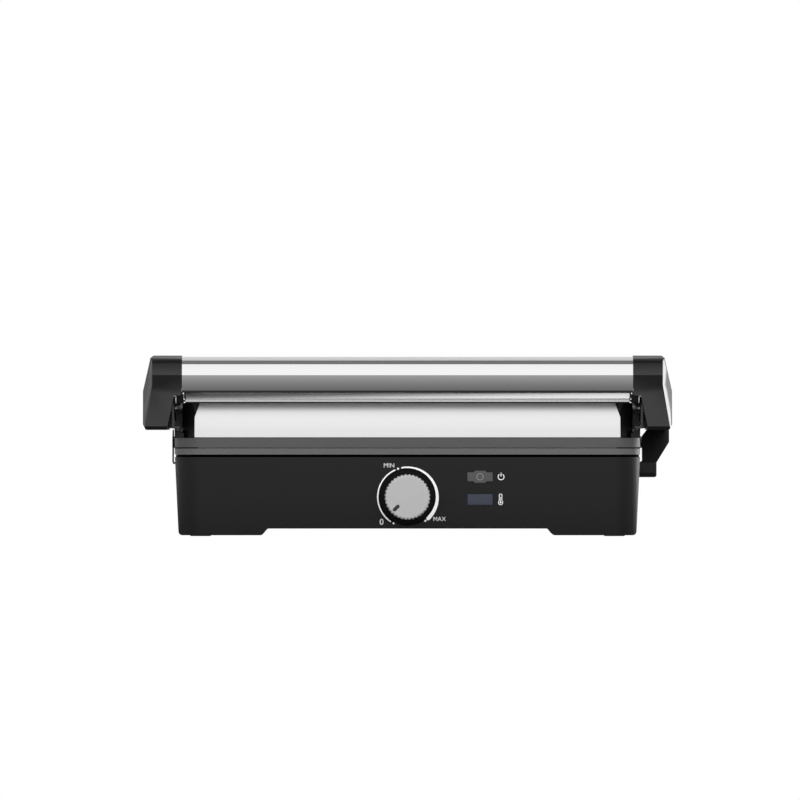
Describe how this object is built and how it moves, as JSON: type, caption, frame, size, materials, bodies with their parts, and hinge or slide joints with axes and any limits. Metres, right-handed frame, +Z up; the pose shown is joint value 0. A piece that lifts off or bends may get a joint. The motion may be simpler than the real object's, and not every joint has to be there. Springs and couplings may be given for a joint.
{
  "type": "electric contact grill",
  "caption": "Low electric contact grill with a dial on its base, ribbed plates, and a floating steel lid hung between two black arms joined by a steel bar handle.",
  "frame": {"origin": "on the table, under the middle of the overall footprint, with the lid closed", "axes": "+X to the right as the cook sees it, +Y to the back, +Z up; the control panel faces -Y"},
  "size_m": [0.35, 0.312, 0.1195],
  "materials": {
    "base_plastic": "satin black moulded plastic",
    "arm_plastic": "satin black moulded plastic",
    "housing_plastic": "satin dark grey moulded plastic",
    "brushed_steel": "brushed stainless sheet",
    "dark_steel": "black coated steel",
    "plate_coating": "dark grey non-stick coated cast aluminium",
    "steel_fitting": "zinc plated steel",
    "heater_sheath": "heat tinted steel tube",
    "reflector_sheet": "mill finish sheet",
    "knob_silver": "satin silver",
    "rubber": "matt black",
    "lamp_lens": "smoked grey",
    "heat_lens": "smoked blue",
    "lamp_glass": "amber",
    "board": "green laminate",
    "insulator": "pale ceramic and nylon",
    "brass": "plain"
  },
  "bodies": {
    "base": {"base_shell": "base_plastic", "bottom_cover": "base_plastic", "rubber_pads": "rubber", "base_screws": "steel_fitting", "lower_plate": "plate_coating", "lower_element": "heater_sheath", "lower_reflector": "reflector_sheet", "plate_screws": "steel_fitting", "thermostat": "insulator", "shaft_nut": "brass", "power_window": "lamp_lens", "heat_window": "heat_lens", "lamps": "lamp_glass", "lamp_board": "board", "thermal_cutout": "insulator", "terminal_block": "insulator", "cord_gland": "base_plastic", "right_hinge_housing": "housing_plastic", "left_hinge_bracket": "dark_steel", "hinge_pins": "steel_fitting", "hinge_bushes": "brass", "thrust_washers": "insulator", "housing_screws": "steel_fitting"},
    "knob": {"knob_shaft": "steel_fitting", "control_knob": "knob_silver", "knob_pointer": "arm_plastic"},
    "drip_tray": {"drip_tray": "base_plastic"},
    "arms": {"left_arm_cover": "arm_plastic", "right_arm_cover": "arm_plastic", "left_arm_plate": "dark_steel", "right_arm_plate": "dark_steel", "handle_bar": "brushed_steel", "handle_core": "arm_plastic", "handle_screws": "steel_fitting", "arm_screws": "steel_fitting", "release_spring": "steel_fitting"},
    "release_slide": {"release_slide": "housing_plastic"},
    "lid": {"lid_frame": "base_plastic", "lid_front_panel": "brushed_steel", "lid_top_cover": "brushed_steel", "upper_plate": "plate_coating", "upper_element": "heater_sheath", "upper_reflector": "reflector_sheet", "upper_cutout": "insulator", "pivot_pins": "steel_fitting", "pivot_sleeves": "steel_fitting", "upper_plate_screws": "steel_fitting"}
  },
  "joints": [
    {"name": "arm_hinge", "type": "hinge", "parent": "base", "child": "arms", "pos_m": [0, 0.146, 0.062], "axis": [-1, 0, 0], "range_deg": [0, 180]},
    {"name": "lid_level", "type": "hinge", "parent": "arms", "child": "lid", "pos_m": [0, -0.01, 0.0847], "axis": [1, 0, 0], "range_deg": [0, 3]},
    {"name": "knob_turn", "type": "hinge", "parent": "base", "child": "knob", "pos_m": [0, -0.131, 0.0259], "axis": [0, 1, 0], "range_deg": [0, 277]},
    {"name": "release_slide_pull", "type": "slide", "parent": "arms", "child": "release_slide", "axis": [0, -1, 0], "range_m": [0, 0.006], "stiffness_N_per_m": 400, "springref_m": -0.002, "deforming": ["release_spring"]},
    {"name": "drip_tray_slide", "type": "slide", "parent": "base", "child": "drip_tray", "axis": [0, 1, 0], "range_m": [0, 0.09]}
  ],
  "couplings": [
    {"joint": "lid_level", "follows": "arm_hinge", "ratio": 0.0166}
  ]
}
